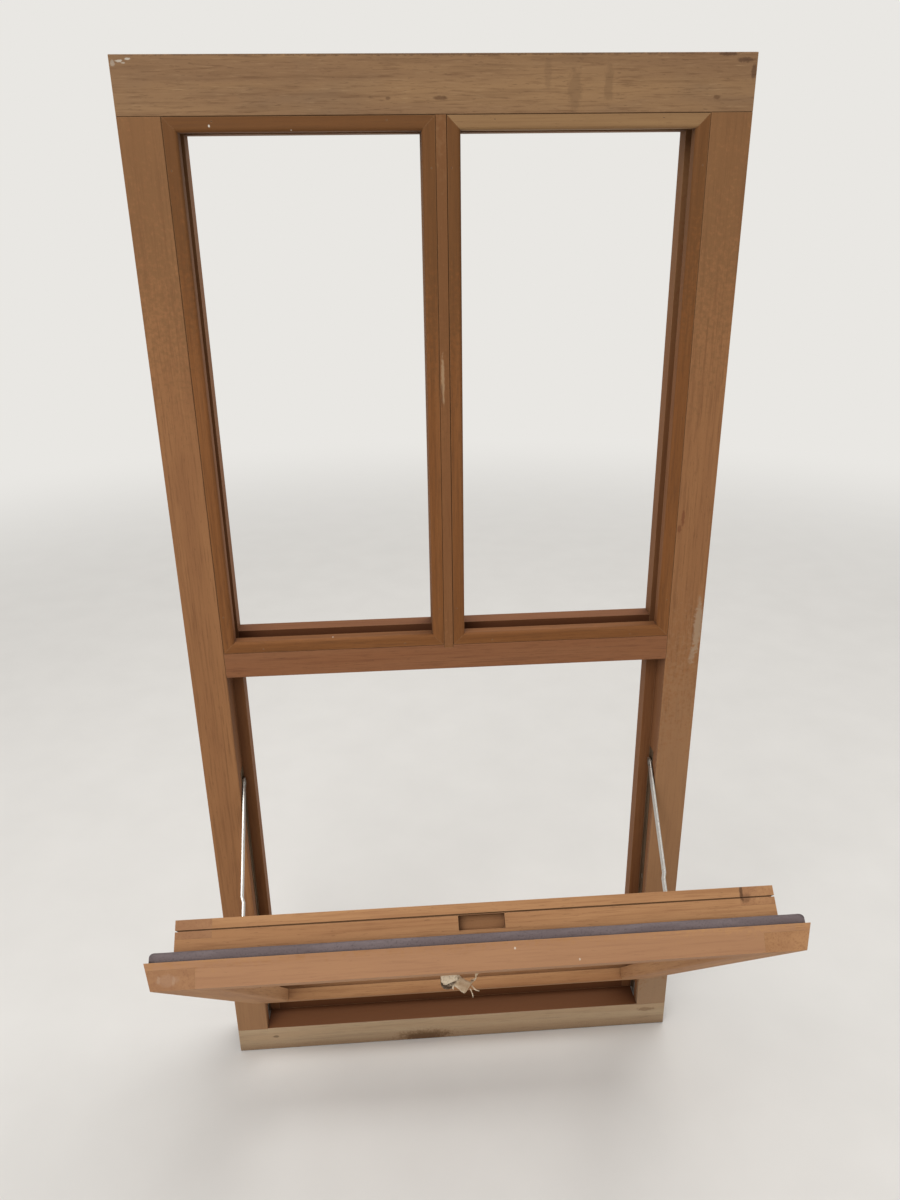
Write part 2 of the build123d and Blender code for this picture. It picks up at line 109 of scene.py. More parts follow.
def seen_directly(tree):
    """1 where the eye, a mirror reflection or a look through glass meets the surface, else 0."""
    path = add_node(tree, "ShaderNodeLightPath")
    seen = add_node(tree, "ShaderNodeMath", {
        0: path.outputs["Is Camera Ray"], 1: path.outputs["Is Glossy Ray"]}, operation="MAXIMUM")
    return add_node(tree, "ShaderNodeMath", {
        0: seen.outputs[0], 1: path.outputs["Is Transmission Ray"]}, operation="MAXIMUM").outputs[0]


world = bpy.data.worlds.new("pale_studio")
world.use_nodes = True
world.node_tree.nodes.clear()
bpy.context.scene.world = world
sky_tree = world.node_tree
sky = add_node(sky_tree, "ShaderNodeBackground", {"Color": linear(sky_hex), "Strength": sky_level})
backdrop = add_node(sky_tree, "ShaderNodeBackground", {"Color": linear(backdrop_hex), "Strength": 1.0})
both = add_node(sky_tree, "ShaderNodeMixShader", {
    0: seen_directly(sky_tree), 1: sky.outputs[0], 2: backdrop.outputs[0]})
add_node(sky_tree, "ShaderNodeOutputWorld", {"Surface": both.outputs[0]})

for name, place, width, watts in lamps:
    lamp = bpy.data.lights.new(name, "AREA")
    lamp.shape = "DISK"
    lamp.size = width
    lamp.energy = watts
    holder = bpy.data.objects.new(name, lamp)
    holder.location = place
    holder.rotation_euler = (lamp_aim - Vector(place)).to_track_quat("-Z", "Y").to_euler()
    bpy.context.scene.collection.objects.link(holder)


# Floor: plain pale screed, matt and faintly mottled. It keeps the window's shadow, and fades into
# the backdrop far out.
floor_radius = 14.0
floor_segments = 96
floor_drop = 0.0004
fade_from = 1.6
fade_to = 4.0
screed_hex = "#d6d3ce"
mottle_hex = "#dedbd6"
mottles_per_metre = 9.0  # clouds about 110 mm wide


def blank_material(name):
    """A new material with no nodes yet, and its node tree."""
    material = bpy.data.materials.new(name)
    material.use_nodes = True
    material.node_tree.nodes.clear()
    return material, material.node_tree


floor_shape = bmesh.new()
bmesh.ops.create_circle(floor_shape, cap_ends=True, segments=floor_segments, radius=floor_radius)
floor_mesh = bpy.data.meshes.new("floor")
floor_shape.to_mesh(floor_mesh)
floor_shape.free()
floor = bpy.data.objects.new("floor", floor_mesh)
floor.location.z = -floor_drop
bpy.context.scene.collection.objects.link(floor)

screed, screed_tree = blank_material("pale_screed")
floor_place = add_node(screed_tree, "ShaderNodeTexCoord").outputs["Object"]
far_out = add_node(screed_tree, "ShaderNodeVectorMath", {0: floor_place}, operation="LENGTH")
fade = add_node(screed_tree, "ShaderNodeMapRange", {
    "Value": far_out.outputs["Value"], "From Min": fade_from, "From Max": fade_to},
    interpolation_type="SMOOTHSTEP")
fade_seen = add_node(screed_tree, "ShaderNodeMath", {
    0: fade.outputs["Result"], 1: seen_directly(screed_tree)}, operation="MULTIPLY")
mottle = add_node(screed_tree, "ShaderNodeTexNoise", {
    "Vector": floor_place, "Scale": mottles_per_metre, "Detail": 5.0})
screed_tone = add_node(screed_tree, "ShaderNodeMix", {
    "Factor": mottle.outputs["Fac"], "A": linear(screed_hex), "B": linear(mottle_hex)}, data_type="RGBA")
matt = add_node(screed_tree, "ShaderNodeBsdfDiffuse", {"Color": screed_tone.outputs["Result"]})
glow = add_node(screed_tree, "ShaderNodeEmission", {"Color": linear(backdrop_hex), "Strength": 1.0})
screed_mix = add_node(screed_tree, "ShaderNodeMixShader", {
    0: fade_seen.outputs[0], 1: matt.outputs[0], 2: glow.outputs[0]})
add_node(screed_tree, "ShaderNodeOutputMaterial", {"Surface": screed_mix.outputs[0]})
floor.data.materials.append(screed)


# Head: one length of open-pored reddish hardwood that runs over both jambs, its old stain bleached
# by the weather to a tan. Fine torn fibres show along the grain, its top arris is grimy, and old
# marks have stayed: a smear of white paint, a curved brown stain, three small knots and smudges.
level = (0.0, math.radians(90), 0.0)
pore_colour = "#4a2e1c"
end_grain_colour = "#865f46"
end_grain_between = (0.75, 0.95)
# Stain and painted shade: faces behind the front face are darkened towards this colour, partly the old stain
# that has stayed there and partly painted shade, the most on the sill, where it stands for the open sash's
# shadow on the inner top.
kept_stain_and_shade_colour = "#633715"
kept_stain_and_shade_between = (-28.2, -27.0)  # mm along Y, from the front face inwards
# Painted shade: the deep corners and recesses of the timber are darkened towards this dark red brown,
# standing for the shade that falls there.
painted_shade_colour = "#47240f"
painted_shade_reach = 0.045
painted_shade_between = (0.85, 0.3)
# Wear and painted highlight: arrises are lightened towards this pale tan, partly rubbed bare and partly a
# painted highlight along the edges.
worn_and_highlit_colour = "#b98f66"
worn_and_highlit_share = 0.35
arris_radius = 0.0011
arris_between = (0.985, 0.86)
# Dark joints and painted shade: joints and tight corners within the crevice reach are darkened towards this
# near black.
crevice_dirt_and_shade_colour = "#2a180e"
crevice_dirt_and_shade_share = 0.6
crevice_reach = 0.005
crevice_between = (0.7, 0.15)
ragged_per_metre = 220.0  # one tear to about 4.5 mm
ragged_weight = 2.0
patch_between = (2.2, 1.6)
weld_reach = 0.00001
sharp_angle = math.radians(35)
# Pores are drawn 1.2 mm across, about four times as wide as the real ones, so that they show.
head_layers = (
    # across mm, along mm, from, to, colour, amount, relief mm
    (28.0, 420.0, 0.35, 0.7, "#9a7853", 0.7, 0.0),
    (50.0, 150.0, 0.48, 0.75, "#77604a", 0.45, 0.0),
    (5.0, 120.0, 0.48, 0.72, "#6f5136", 0.4, 0.0),
    (1.9, 34.0, 0.5, 0.7, "#62432b", 0.5, 0.08),
    (1.5, 26.0, 0.56, 0.74, "#a98a66", 0.4, 0.0),
    (1.2, 9.0, 0.6, 0.7, pore_colour, 0.35, 0.1),
)
head_marks = (
    # centre mm, half sizes mm, colour, amount
    # grime along the top arris
    ((0.0, -28.5, 1277.5), (330.0, 8.0, 2.6), "#4c3625", 0.6),
    # smear of white paint
    ((-311.5, -28.5, 1269.5), (2.2, 4.0, 2.4), "#cfc8ba", 0.3),
    ((-305.5, -28.5, 1271.5), (3.4, 4.0, 1.2), "#d5cfc2", 0.55),
    ((-301.5, -28.5, 1269.8), (1.8, 4.0, 0.9), "#cfc8ba", 0.4),
    ((-297.0, -28.5, 1273.0), (2.8, 4.0, 1.1), "#d5cfc2", 0.6),
    # curved brown stain
    ((285.0, -28.5, 1275.5), (10.0, 4.0, 2.0), "#4b3120", 0.7),
    ((302.0, -28.5, 1270.0), (9.0, 4.0, 2.4), "#4b3120", 0.65),
    ((312.0, -28.5, 1260.0), (2.6, 4.0, 7.0), "#4b3120", 0.6),
    # knots
    ((-0.7, -28.5, 1238.4), (7.5, 4.0, 2.0), "#51341f", 0.6),
    ((276.8, -28.5, 1237.6), (4.0, 4.0, 1.8), "#51341f", 0.55),
    ((-51.6, -28.5, 1238.7), (3.0, 4.0, 1.5), "#5a3d28", 0.6),
    # smudges
    ((133.0, -28.5, 1244.0), (7.0, 4.0, 22.0), "#5f452f", 0.3),
    ((167.0, -28.5, 1250.0), (5.0, 4.0, 19.0), "#5f452f", 0.3),
    ((106.0, -28.5, 1258.0), (4.0, 4.0, 13.0), "#6b5038", 0.25),
)


def millimetres(values):
    """Millimetres as Blender's metres."""
    return [value / 1000 for value in values]


def coated(tree, base, coats):
    """Lay coats over a base colour. Gives the shader's colour, and its normal where a coat has relief.

    A coat is the value that places it, the two values between which it comes in, its colour, how
    much of it shows at most, and how deep it is sunk in millimetres.
    """
    inputs = {"Base Color": linear(base)}
    for value, low, high, colour, amount, relief in coats:
        share = add_node(tree, "ShaderNodeMapRange", {
            "Value": value, "From Min": low, "From Max": high, "To Max": amount},
            interpolation_type="SMOOTHSTEP").outputs["Result"]
        inputs["Base Color"] = add_node(tree, "ShaderNodeMix", {
            "Factor": share, "A": inputs["Base Color"], "B": linear(colour)},
            data_type="RGBA").outputs["Result"]
        if relief:
            sunk = {"Height": share, "Distance": relief / 1000}
            if "Normal" in inputs:
                sunk["Normal"] = inputs["Normal"]
            inputs["Normal"] = add_node(tree, "ShaderNodeBump", sunk, invert=True).outputs[0]
    return inputs


def noise_marks(tree, place, grain, layers):
    """A coat for each layer of marks, which run along the grain, from broad to fine."""
    for across, along, *coat in layers:
        in_marks = add_node(tree, "ShaderNodeMapping", {
            "Vector": place, "Rotation": grain, "Scale": millimetres((across, across, along))},
            vector_type="TEXTURE")
        marks = add_node(tree, "ShaderNodeTexNoise", {
            "Vector": in_marks.outputs[0], "Scale": 1.0, "Detail": 3.0, "Roughness": 0.6})
        yield marks.outputs["Fac"], *coat


def end_grain(tree, normal, grain, amount):
    """A coat on the faces that look along the grain, because open ends drink more stain."""
    turned = add_node(tree, "ShaderNodeVectorRotate", {"Vector": normal, "Rotation": grain},
                      rotation_type="EULER_XYZ", invert=True)
    along = add_node(tree, "ShaderNodeSeparateXYZ", {0: turned.outputs[0]})
    squarely = add_node(tree, "ShaderNodeMath", {0: along.outputs["Z"]}, operation="ABSOLUTE")
    return squarely.outputs[0], *end_grain_between, end_grain_colour, amount, 0.0


def kept_stain_and_shade(tree, place, amount):
    """A coat on all but the frame's front face: the old stain that has stayed there, and painted shade."""
    depth = add_node(tree, "ShaderNodeSeparateXYZ", {0: place})
    return depth.outputs["Y"], *millimetres(kept_stain_and_shade_between), kept_stain_and_shade_colour, amount, 0.0


def shut_in(tree, reach, between, colour, amount):
    """A coat where other faces stand within reach. It is painted shade in the corners of timber, foam and
    tape, with dark joints in the timber, and dirt in the corners of steel.
    """
    open_share = add_node(tree, "ShaderNodeAmbientOcclusion", {"Distance": reach}, samples=6)
    return open_share.outputs["AO"], *between, colour, amount, 0.0


def ragged_patches(tree, place, patches):
    """A coat for each local mark, with a ragged edge."""
    ragged = add_node(tree, "ShaderNodeTexNoise", {
        "Vector": place, "Scale": ragged_per_metre, "Detail": 6.0, "Roughness": 0.7})
    for centre, half, colour, amount in patches:
        inside = add_node(tree, "ShaderNodeMapping", {
            "Vector": place, "Location": millimetres(centre), "Scale": millimetres(half)},
            vector_type="TEXTURE")
        reach = add_node(tree, "ShaderNodeVectorMath", {0: inside.outputs[0]}, operation="LENGTH")
        edge = add_node(tree, "ShaderNodeMath", {
            0: ragged.outputs["Fac"], 1: ragged_weight, 2: reach.outputs["Value"]}, operation="MULTIPLY_ADD")
        yield edge.outputs[0], *patch_between, colour, amount, 0.0


def worn_and_highlit_arris(tree):
    """A coat where the surface turns over an arris within the arris radius: paler wear and a painted
    highlight.
    """
    bare = add_node(tree, "ShaderNodeNewGeometry")
    rounded = add_node(tree, "ShaderNodeBevel", {"Radius": arris_radius}, samples=6)
    alike = add_node(tree, "ShaderNodeVectorMath", {
        0: bare.outputs["Normal"], 1: rounded.outputs[0]}, operation="DOT_PRODUCT")
    return alike.outputs["Value"], *arris_between, worn_and_highlit_colour, worn_and_highlit_share, 0.0


def timber(name, base, layers, grain, end_share=0.5, stain_and_shade_behind=0.0, painted_corner_shade=0.75, patches=()):
    """Matt stained hardwood with its grain along one way through the solid, so that ends show end grain.

    Layers are grain marks, and patches are local marks of use. End share is how much stain the end
    grain holds. The two other amounts darken the faces behind the front, with kept stain and painted
    shade, and the deep corners, with painted shade.
    """
    material, tree = blank_material(name)
    where = add_node(tree, "ShaderNodeTexCoord")
    place = where.outputs["Object"]
    surface = add_node(tree, "ShaderNodeBsdfPrincipled", {
        **coated(tree, base, [
            *noise_marks(tree, place, grain, layers),
            end_grain(tree, where.outputs["Normal"], grain, end_share),
            # stain kept behind the front face, with painted shade
            kept_stain_and_shade(tree, place, stain_and_shade_behind),
            # painted shade in the deep corners
            shut_in(tree, painted_shade_reach, painted_shade_between, painted_shade_colour, painted_corner_shade),
            *ragged_patches(tree, place, patches),
            # wear and painted highlight on the arrises
            worn_and_highlit_arris(tree),
            # dark joints and painted shade in tight corners
            shut_in(tree, crevice_reach, crevice_between, crevice_dirt_and_shade_colour, crevice_dirt_and_shade_share),
        ]),
        "Roughness": 0.75, "IOR": 1.5, "Specular IOR Level": 0.25})
    add_node(tree, "ShaderNodeOutputMaterial", {"Surface": surface.outputs[0]})
    return material


def dress(node, material, roundness=0.2):
    """Give a piece its finish, and take its arrises off by the roundness in millimetres."""
    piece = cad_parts[node]
    piece.data.materials.clear()
    piece.data.materials.append(material)
    if roundness:
        weld = piece.modifiers.new("weld", "WELD")
        weld.merge_threshold = weld_reach
        arris = piece.modifiers.new("arris", "BEVEL")
        arris.width = roundness / 1000
        arris.segments = 2
        arris.limit_method = "ANGLE"
        arris.angle_limit = sharp_angle
        arris.use_clamp_overlap = False
        arris.loop_slide = False
        facing = piece.modifiers.new("facing", "WEIGHTED_NORMAL")
        facing.keep_sharp = True


dress("head", timber("weathered_hardwood_level", "#856547", head_layers, level, stain_and_shade_behind=0.35,
                     patches=head_marks), roundness=0.1)


# Sill, jambs, transom and mullion: the same hardwood under an old brown wood stain, planed, with
# stub tenons in the joints. Sheltered from the weather, they have kept more of the stain's red. Their
# faces behind the front and their rebates are also darkened, partly kept stain and partly painted
# shade. A splash of plaster, a scuff and a dark smudge on the sill have stayed.
upright = (0.0, 0.0, 0.0)
stain_layers = (
    (24.0, 460.0, 0.35, 0.7, "#9c6e46", 0.6, 0.0),
    (45.0, 160.0, 0.48, 0.75, "#805535", 0.4, 0.0),
    (4.0, 150.0, 0.48, 0.72, "#6c4529", 0.35, 0.0),
    (1.7, 44.0, 0.5, 0.7, "#643f25", 0.35, 0.05),
    (1.2, 9.0, 0.62, 0.7, pore_colour, 0.3, 0.08),
)
red_layers = (
    (14.0, 380.0, 0.35, 0.7, "#8c5f3f", 0.6, 0.0),
    (3.0, 110.0, 0.48, 0.72, "#673d26", 0.4, 0.0),
    (1.5, 30.0, 0.5, 0.7, "#5c3622", 0.35, 0.05),
    (1.2, 9.0, 0.62, 0.7, pore_colour, 0.3, 0.08),
)
sill_layers = (
    (16.0, 420.0, 0.35, 0.7, "#b29c7e", 0.6, 0.0),
    (3.0, 110.0, 0.48, 0.72, "#86705a", 0.35, 0.0),
    (1.5, 30.0, 0.52, 0.7, "#77624c", 0.35, 0.05),
)
frame_marks = (
    # darker under the head, paler low on the right jamb and at both feet
    ((0.0, -28.5, 1260.0), (520.0, 80.0, 330.0), "#765433", 0.62),
    ((297.0, -28.5, 290.0), (52.0, 8.0, 340.0), "#9c7856", 0.5),
    ((297.0, -28.5, 42.0), (44.0, 10.0, 70.0), "#988067", 0.6),
    ((-297.0, -28.5, 60.0), (44.0, 10.0, 90.0), "#987757", 0.5),
    # scuff on the right jamb
    ((279.5, -28.5, 797.0), (2.2, 4.0, 10.0), "#6b3a22", 0.6),
    ((276.0, -28.5, 784.0), (2.4, 4.0, 6.0), "#6b3a22", 0.55),
    # splash of plaster
    ((309.5, -28.5, 655.0), (5.0, 4.0, 38.0), "#ab9c86", 0.42),
    ((306.0, -28.5, 617.0), (4.0, 4.0, 12.0), "#a89a85", 0.35),
    # the mullion's darker face, with a pale scratch and a dark one beside it
    ((0.0, -28.5, 900.0), (18.0, 6.0, 420.0), "#6e4320", 0.6),
    ((-2.2, -28.5, 966.0), (2.0, 3.0, 26.0), "#a98b6b", 0.7),
    ((-3.6, -28.5, 948.0), (1.0, 3.0, 14.0), "#5d3a22", 0.6),
)
sill_marks = (
    # dark smudge, in three sizes so that it fades out, and a spot beside it
    ((-44.0, -28.5, 8.0), (46.0, 6.0, 13.0), "#6b4a2c", 0.35),
    ((-44.0, -28.5, 7.0), (38.0, 6.0, 9.5), "#54371a", 0.45),
    ((-45.0, -28.5, 6.0), (28.0, 6.0, 6.5), "#482c12", 0.5),
    ((-10.0, -28.5, 8.5), (3.0, 4.0, 1.6), "#43260f", 0.6),
    # small stains near both ends
    ((-262.0, -28.5, 24.0), (5.0, 4.0, 2.0), "#4c3826", 0.6),
    ((286.0, -28.5, 30.0), (14.0, 4.0, 4.0), "#6a4b31", 0.5),
)
# Matt orange brown, streaked along the grain, and paler towards the jambs' feet.
jamb_timber = timber("stained_hardwood_upright", "#91643f", stain_layers, upright, stain_and_shade_behind=0.5,
                     painted_corner_shade=0.45, patches=frame_marks)
for node in ("left_jamb", "right_jamb", "mullion"):
    dress(node, jamb_timber, roundness=0.1)
# Rain has washed the sill's face to a dry, pale grey tan. Behind the face it is made much darker,
# partly old stain and partly the painted shadow of the open sash on its inner top.
dress("sill", timber("greyed_hardwood_level", "#ab9071", sill_layers, level, stain_and_shade_behind=0.95, patches=sill_marks))
# The transom is redder than the jambs, and its grain is finer.
dress("transom", timber("red_stained_hardwood_level", "#875838", red_layers, level, stain_and_shade_behind=0.5))


# Glazing beads of the fixed lights: small hardwood mouldings with one rounded arris, mitred and
# pinned in. They are the darkest wood, a matt orange brown, partly from the stain they keep and partly
# from painted shade, as they sit deep in the corners of the lights. The right light's head bead is
# paler, and paint has spat on the left light's.
bead_layers = (
    (7.0, 260.0, 0.35, 0.7, "#8a5930", 0.6, 0.0),
    (2.4, 90.0, 0.46, 0.72, "#633e20", 0.5, 0.0),
    (1.3, 24.0, 0.5, 0.7, "#57361c", 0.4, 0.04),
    (1.2, 8.0, 0.62, 0.7, pore_colour, 0.3, 0.06),
)
pale_bead_layers = (
    (7.0, 260.0, 0.35, 0.7, "#9a7850", 0.6, 0.0),
    (2.4, 90.0, 0.46, 0.72, "#7a5838", 0.4, 0.0),
    (1.2, 8.0, 0.62, 0.7, pore_colour, 0.25, 0.06),
)
paint_spits = tuple((place, (1.0, 1.0, 1.2), "#d9d2c4", 0.8) for place in (
    (-227.0, -28.5, 1215.5), (-148.0, -27.0, 1212.0), (-248.0, -28.0, 1225.5), (-190.0, -28.2, 1225.8),
    (-141.0, -28.2, 1225.6), (-140.7, -22.1, 659.4)))
upper_bead_marks = (((0.0, -20.0, 1250.0), (560.0, 90.0, 260.0), "#614020", 0.6),)
bead_level = timber("stained_bead_level", "#784a23", bead_layers, level,
                    patches=upper_bead_marks + paint_spits)
bead_upright = timber("stained_bead_upright", "#784a23", bead_layers, upright, patches=upper_bead_marks)
pale_bead_level = timber("pale_stained_bead_level", "#8c6b48", pale_bead_layers, level)
for node in ("left_light_foot_bead", "left_light_head_bead", "right_light_foot_bead"):
    dress(node, bead_level)
dress("right_light_head_bead", pale_bead_level)
for side in ("left", "right"):
    for place in ("inner", "outer"):
        dress(f"{side}_light_{place}_bead", bead_upright)


# Sash: stiles and rails bridle jointed at the corners, paler than the frame because it has been
# planed again. It stands open, so the grain of its stiles leans out with it. Only the left stile's
# ends have drunk stain; on the right the joints show as thin dark lines.
sash_opening = math.radians(43.25)
leaning = (sash_opening, 0.0, 0.0)
sash_layers = (
    (22.0, 420.0, 0.35, 0.7, "#b98b5f", 0.6, 0.0),
    (45.0, 160.0, 0.48, 0.75, "#96694a", 0.4, 0.0),
    (3.4, 130.0, 0.48, 0.72, "#8a5d3b", 0.4, 0.0),
    (1.6, 36.0, 0.5, 0.7, "#7d5233", 0.4, 0.05),
    (1.2, 9.0, 0.62, 0.7, pore_colour, 0.3, 0.08),
)
rail_marks = (
    # the lip's face, a little duller
    ((0.0, -456.0, 545.0), (700.0, 22.0, 22.0), "#a17759", 0.6),
    # spots of paint
    ((26.0, -445.7, 555.1), (0.9, 1.2, 1.2), "#d8cebd", 0.7),
    ((81.0, -452.2, 544.7), (0.9, 1.2, 1.2), "#d8cebd", 0.6),
)
left_stile_marks = (
    # rubbed end, with two scratches
    ((-266.0, -450.5, 547.5), (10.0, 4.0, 5.0), "#b0917a", 0.22),
    ((-273.0, -450.5, 548.5), (1.2, 4.0, 3.6), "#b59a80", 0.2),
    ((-260.5, -450.5, 547.0), (1.4, 4.0, 4.4), "#b59a80", 0.25),
)
right_stile_marks = (
    # dark gouge at the rail's end, and the stain round it
    ((236.0, -407.0, 566.0), (1.6, 9.0, 8.0), "#3f2616", 0.7),
    ((239.0, -410.0, 563.0), (5.0, 4.0, 4.0), "#5c3c26", 0.45),
)
planed_base = "#a1744d"
rail_timber = timber("planed_hardwood_level", planed_base, sash_layers, level, painted_corner_shade=0.35,
                     patches=rail_marks)
left_stile_timber = timber("planed_hardwood_leaning_left", planed_base, sash_layers, leaning,
                           end_share=0.45, painted_corner_shade=0.35, patches=left_stile_marks)
right_stile_timber = timber("planed_hardwood_leaning_right", planed_base, sash_layers, leaning,
                            end_share=0.12, painted_corner_shade=0.35, patches=right_stile_marks)
for node in ("sash_free_rail", "sash_hinge_rail"):
    dress(node, rail_timber)
dress("sash_left_stile", left_stile_timber)
dress("sash_right_stile", right_stile_timber)
sash_bead_level = timber("planed_bead_level", "#9a6c45", sash_layers, level, painted_corner_shade=0.5)
for place in ("hinge", "free"):
    dress(f"sash_{place}_bead", sash_bead_level)
for place in ("left", "right"):
    dress(f"sash_{place}_bead", right_stile_timber)


# Weather seal: strips of closed-cell foam, once black and now a dusty grey, stuck on the lip's
# shoulder round all four sides. The foam is matt, full of pinholes and a little uneven, and painted
# shade darkens its foot, where it meets the lip. As the sash shuts, it is pressed flat between the
# shoulder and the frame.
off_shoulder = Vector((0.0, math.cos(sash_opening), math.sin(sash_opening)))
up_the_sash = Vector((0.0, -math.sin(sash_opening), math.cos(sash_opening)))
across_the_sash = Vector((1.0, 0.0, 0.0))
seal_runs = {"hinge": across_the_sash, "free": across_the_sash, "left": up_the_sash, "right": up_the_sash}
cut_spacing = 0.006
lumps_per_metre = 45.0  # one lump to about 22 mm
lump_depth = 0.0005
lumps_full_at = 0.008
# The foam's pinholes are drawn 1.5 mm wide, coarser than the real ones, so that they show.
foam_layers = (
    (9.0, 40.0, 0.4, 0.75, "#7d7171", 0.5, 0.0),
    (1.5, 1.5, 0.5, 0.72, "#4c4343", 0.5, 0.25),
)
foam, foam_tree = blank_material("dusty_grey_foam")
foam_place = add_node(foam_tree, "ShaderNodeTexCoord").outputs["Object"]
foam_surface = add_node(foam_tree, "ShaderNodeBsdfPrincipled", {
    **coated(foam_tree, "#675b5b", [
        *noise_marks(foam_tree, foam_place, level, foam_layers),
        # painted shade along the foot of the seal, where it meets the lip
        shut_in(foam_tree, reach=0.006, between=(0.8, 0.3), colour="#2b2422", amount=0.9),
    ]),
    "Roughness": 0.95, "IOR": 1.5, "Specular IOR Level": 0.2})
add_node(foam_tree, "ShaderNodeOutputMaterial", {"Surface": foam_surface.outputs[0]})


def finished(name, mesh, material, body, node):
    """Turn a built mesh into a piece that rides on a body and stands for its node."""
    bmesh.ops.recalc_face_normals(mesh, faces=mesh.faces)
    data = bpy.data.meshes.new(name)
    mesh.to_mesh(data)
    mesh.free()
    data.shade_smooth()
    data.set_sharp_from_angle(angle=sharp_angle)
    data.materials.append(material)
    piece = bpy.data.objects.new(name, data)
    bpy.context.scene.collection.objects.link(piece)
    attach(piece, body)
    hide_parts(node)
    return piece


def welded_copy(node):
    """A copy of a node's mesh, joined along its edges."""
    mesh = bmesh.new()
    mesh.from_mesh(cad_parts[node].data)
    bmesh.ops.remove_doubles(mesh, verts=mesh.verts, dist=weld_reach)
    return mesh


for place, run in seal_runs.items():
    node = f"sash_{place}_weather_seal"
    strip = welded_copy(node)
    base = min(vert.co.dot(off_shoulder) for vert in strip.verts)
    along = [vert.co.dot(run) for vert in strip.verts]
    start, end = min(along), max(along)
    for i in range(1, int((end - start) / cut_spacing)):
        bmesh.ops.bisect_plane(strip, geom=[*strip.verts, *strip.edges, *strip.faces],
                               plane_co=run * (start + i * cut_spacing), plane_no=run)
    for vert in strip.verts:
        height = vert.co.dot(off_shoulder) - base
        lump = 0.5 + 0.5 * noise.noise(vert.co * lumps_per_metre)
        sink = lump * lump_depth * min(height / lumps_full_at, 1)
        vert.co -= off_shoulder * sink
    seal = finished(f"{node}_foam", strip, foam, "sash", node)
    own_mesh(seal)


# Friction stays: folded channels of zinc-plated steel gone dull and brown, let into the jambs, with
# a flat arm screwed to each stile. The links between them are stainless steel and still shine.
def steel(name, base, layers, grain, roughness, dirt):
    """Bare metal: marks run along the strip as it was rolled, and dirt gathers in its corners."""
    material, tree = blank_material(name)
    place = add_node(tree, "ShaderNodeTexCoord").outputs["Object"]
    surface = add_node(tree, "ShaderNodeBsdfPrincipled", {
        **coated(tree, base, [
            *noise_marks(tree, place, grain, layers),
            shut_in(tree, reach=0.004, between=(0.8, 0.2), colour="#432f1e", amount=dirt),
        ]),
        "Metallic": 1.0, "Roughness": roughness})
    add_node(tree, "ShaderNodeOutputMaterial", {"Surface": surface.outputs[0]})
    return material


# The rolling lines and specks of tarnish are drawn over 1 mm wide, coarser than the real ones, so
# that they show.
dull_layers = (
    (12.0, 60.0, 0.42, 0.7, "#635240", 0.6, 0.0),
    (2.0, 6.0, 0.55, 0.72, "#5d4c3c", 0.5, 0.04),
)
bright_layers = (
    (1.2, 60.0, 0.45, 0.7, "#8f8b85", 0.4, 0.02),
    (6.0, 9.0, 0.6, 0.75, "#7d7266", 0.4, 0.0),
)
dull_steel = steel("tarnished_zinc_plated_steel", "#83735f", dull_layers, upright, 0.5, 0.7)
bright_steel = steel("stainless_steel_strip", "#c3c0ba", bright_layers, leaning, 0.32, 0.6)
for side in ("left", "right"):
    for part in ("stay_track", "sash_arm"):
        dress(f"{side}_{part}", dull_steel, roundness=0.15)
    for part in ("long_link", "short_link"):
        dress(f"{side}_{part}", bright_steel)


# Shoes and end caps of the stays: moulded grey nylon with a low sheen, mottled with dust. The shoe
# slides in the channel, and the cap fits over the channel's foot with a cheek along each wall.
# Specks of dust are drawn 1.5 mm wide, coarser than the real ones, so that they show.
nylon_layers = (
    (8.0, 8.0, 0.45, 0.7, "#7c7873", 0.5, 0.0),
    (1.5, 1.5, 0.55, 0.72, "#403c39", 0.4, 0.03),
)
nylon, nylon_tree = blank_material("grey_moulded_nylon")
nylon_place = add_node(nylon_tree, "ShaderNodeTexCoord").outputs["Object"]
nylon_surface = add_node(nylon_tree, "ShaderNodeBsdfPrincipled", {
    **coated(nylon_tree, "#64605c", noise_marks(nylon_tree, nylon_place, upright, nylon_layers)),
    "Roughness": 0.45, "IOR": 1.53})
add_node(nylon_tree, "ShaderNodeOutputMaterial", {"Surface": nylon_surface.outputs[0]})
for side in ("left", "right"):
    for part in ("stay_shoe", "track_end_cap"):
        dress(f"{side}_{part}", nylon)


# Rivets of the stays: steel with a soft dull shine, each with a low domed head formed over the link
# that turns on it. The channel's rivet has a shoulder that holds the link clear of the channel.
segment_count = 40
rivet_dome = ((0.0, 0.0), (0.0, 1.0), (0.06, 2.2), (0.2, 3.2), (0.42, 4.2), (0.68, 4.8), (0.85, 4.95),
              (1.0, 4.85))
rivet_profiles = {
    # depth below the head's crown mm, radius mm
    "track_rivet": rivet_dome + ((1.0, 2.95), (3.0, 2.95), (3.05, 4.3), (4.65, 4.3), (4.7, 2.95),
                                 (6.2, 2.95), (6.2, 0.0)),
    "shoe_rivet": rivet_dome + ((1.0, 2.95), (4.65, 2.95), (4.65, 0.0)),
    "arm_rivets": rivet_dome + ((1.0, 2.95), (5.0, 2.95), (5.0, 0.0)),
}
rivet_steel = steel("dull_rivet_steel", "#8d8881", dull_layers, upright, 0.42, 0.7)


def solid_boxes(node):
    """Lowest and highest corners of each separate solid of a node, from the lowest solid up."""
    mesh = welded_copy(node)
    waiting = set(mesh.verts)
    boxes = []
    while waiting:
        front = [waiting.pop()]
        solid = list(front)
        while front:
            vert = front.pop()
            near = {edge.other_vert(vert) for edge in vert.link_edges} & waiting
            waiting -= near
            front += near
            solid += near
        corners = [[vert.co[axis] for vert in solid] for axis in range(3)]
        boxes.append((Vector(map(min, corners)), Vector(map(max, corners))))
    mesh.free()
    return sorted(boxes, key=lambda box: box[0].z)


